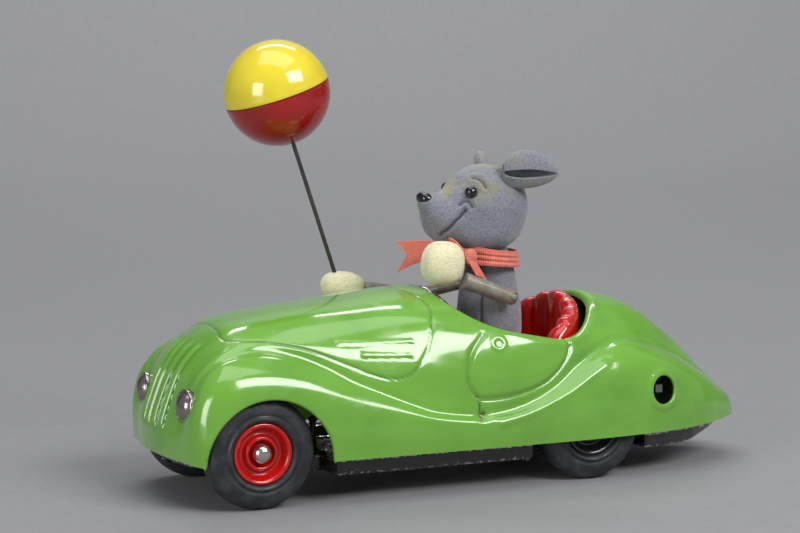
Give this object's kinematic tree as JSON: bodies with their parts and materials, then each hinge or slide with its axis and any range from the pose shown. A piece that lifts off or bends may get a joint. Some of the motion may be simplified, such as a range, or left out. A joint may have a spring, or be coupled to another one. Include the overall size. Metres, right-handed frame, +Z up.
{
  "type": "clockwork toy car with mouse driver",
  "caption": "Pressed-tin clockwork roadster driven by a felt mouse that steers with one hand and holds up a two-coloured ball on a rod.",
  "frame": {"origin": "on the ground plane under the middle of the toy's bounding box; the car's own mid-plane is at y = +3.6 mm", "axes": "+X to the car's nose, +Y to its left side, +Z up"},
  "size_m": [0.1412, 0.0562, 0.0954],
  "materials": {
    "green_lacquer": "glossy light green lacquer over pressed tin",
    "black_tin": "black lacquered tin with worn bright edges",
    "red_lacquer": "glossy deep red lacquer",
    "nickel": "bright nickel plate, slightly dull",
    "steel": "plain steel",
    "brass": "plain brass",
    "tyre_rubber": "dark grey rubber",
    "felt": "blue-grey wool felt with faint yellow stains",
    "hand_cream": "cream short plush",
    "ribbon": "coral woven ribbon",
    "arm_tin": "grey painted tin tube, chipped",
    "bead": "glossy black bead",
    "ball_yellow": "glossy yellow lacquer",
    "ball_red": "glossy red lacquer"
  },
  "bodies": {
    "car": {"body_shell": "green_lacquer", "base_plate": "black_tin", "headlight_left": "nickel", "headlight_right": "nickel", "seat": "red_lacquer", "motor_plate_left": "steel", "motor_plate_right": "steel", "motor_pillar_1": "steel", "motor_pillar_2": "steel", "motor_pillar_3": "steel", "motor_pillar_4": "steel", "mainspring": "steel", "kingpin_rivet": "steel", "mouse_torso": "felt", "mouse_head": "felt", "mouse_nose": "bead", "eye_left": "bead", "eye_right": "bead", "ear_left": "felt", "ear_right": "felt", "neck_ribbon": "ribbon", "left_arm": "arm_tin", "left_hand": "hand_cream", "shoulder_pin_left": "steel", "shoulder_pin_right": "steel"},
    "front_steer": {"axle_bracket": "steel", "front_axle": "steel"},
    "front_roll_left": {"front_tyre_left": "tyre_rubber", "front_wheel_left": "red_lacquer", "hub_cap_left": "nickel"},
    "front_roll_right": {"front_tyre_right": "tyre_rubber", "front_wheel_right": "red_lacquer", "hub_cap_right": "nickel"},
    "steering": {"steering_wheel": "nickel", "steering_column": "steel"},
    "rear_drive": {"rear_axle": "steel", "axle_pinion": "brass", "rear_wheel_left": "black_tin", "rear_wheel_right": "black_tin", "rear_tyre_left": "tyre_rubber", "rear_tyre_right": "tyre_rubber", "rear_boss_left": "brass", "rear_boss_right": "brass"},
    "great_gear": {"great_wheel": "brass", "click": "steel"},
    "winding": {"winding_arbor": "steel", "ratchet_wheel": "steel"},
    "second_gear": {"second_wheel": "brass", "second_pinion": "steel"},
    "governor": {"governor_pinion": "steel", "governor_disc": "brass"},
    "stop": {"stop_lever": "steel"},
    "ball_arm": {"right_arm": "arm_tin", "right_hand": "hand_cream", "ball_rod": "steel", "ball_upper": "ball_yellow", "ball_lower": "ball_red"},
    "lift_wire": {"push_rod": "steel"}
  },
  "joints": [
    {"name": "front_steering", "type": "hinge", "parent": "car", "child": "front_steer", "pos_m": [0.0534, 0.0036, 0.0118], "axis": [0, 0, 1], "range_deg": [-3.5, 3.5]},
    {"name": "front_wheel_left_spin", "type": "hinge", "parent": "front_steer", "child": "front_roll_left", "pos_m": [0.0534, 0.0225, 0.0118], "axis": [0, 1, 0], "continuous": true},
    {"name": "front_wheel_right_spin", "type": "hinge", "parent": "front_steer", "child": "front_roll_right", "pos_m": [0.0534, -0.0153, 0.0118], "axis": [0, 1, 0], "continuous": true},
    {"name": "steering_wheel_turn", "type": "hinge", "parent": "car", "child": "steering", "pos_m": [0.0031, 0.0036, 0.0363], "axis": [0.8063, 0, -0.5915], "range_deg": [-13, 13]},
    {"name": "rear_axle_spin", "type": "hinge", "parent": "car", "child": "rear_drive", "pos_m": [-0.0238, 0.0036, 0.0118], "axis": [0, 1, 0], "continuous": true},
    {"name": "great_wheel_spin", "type": "hinge", "parent": "car", "child": "great_gear", "pos_m": [-0.0412, 0.0036, 0.0187], "axis": [0, 1, 0], "continuous": true},
    {"name": "winding_turn", "type": "hinge", "parent": "great_gear", "child": "winding", "pos_m": [-0.0412, 0.0036, 0.0187], "axis": [0, 1, 0], "range_deg": [0, 1080]},
    {"name": "second_wheel_spin", "type": "hinge", "parent": "car", "child": "second_gear", "pos_m": [-0.02924, 0.0036, 0.01971], "axis": [0, 1, 0], "continuous": true},
    {"name": "governor_spin", "type": "hinge", "parent": "car", "child": "governor", "pos_m": [-0.02088, 0.0036, 0.01895], "axis": [0, 1, 0], "continuous": true},
    {"name": "stop_lever_swing", "type": "hinge", "parent": "car", "child": "stop", "pos_m": [-0.0196, 0.0136, 0.0149], "axis": [0, 1, 0], "range_deg": [0, 12]},
    {"name": "ball_arm_raise", "type": "hinge", "parent": "car", "child": "ball_arm", "pos_m": [-0.0068, -0.0057, 0.0407], "axis": [0, -1, 0], "range_deg": [-2, 40]},
    {"name": "lift_wire_swing", "type": "hinge", "parent": "ball_arm", "child": "lift_wire", "pos_m": [-0.005, 0.0006, 0.0407], "axis": [0, -1, 0], "range_deg": [-45, 5]}
  ],
  "couplings": [
    {"joint": "steering_wheel_turn", "follows": "front_steering", "ratio": -3.55},
    {"joint": "second_wheel_spin", "follows": "rear_axle_spin", "ratio": -0.6},
    {"joint": "great_wheel_spin", "follows": "rear_axle_spin", "ratio": 0.15},
    {"joint": "governor_spin", "follows": "rear_axle_spin", "ratio": 1.5},
    {"joint": "lift_wire_swing", "follows": "ball_arm_raise", "ratio": -1}
  ]
}
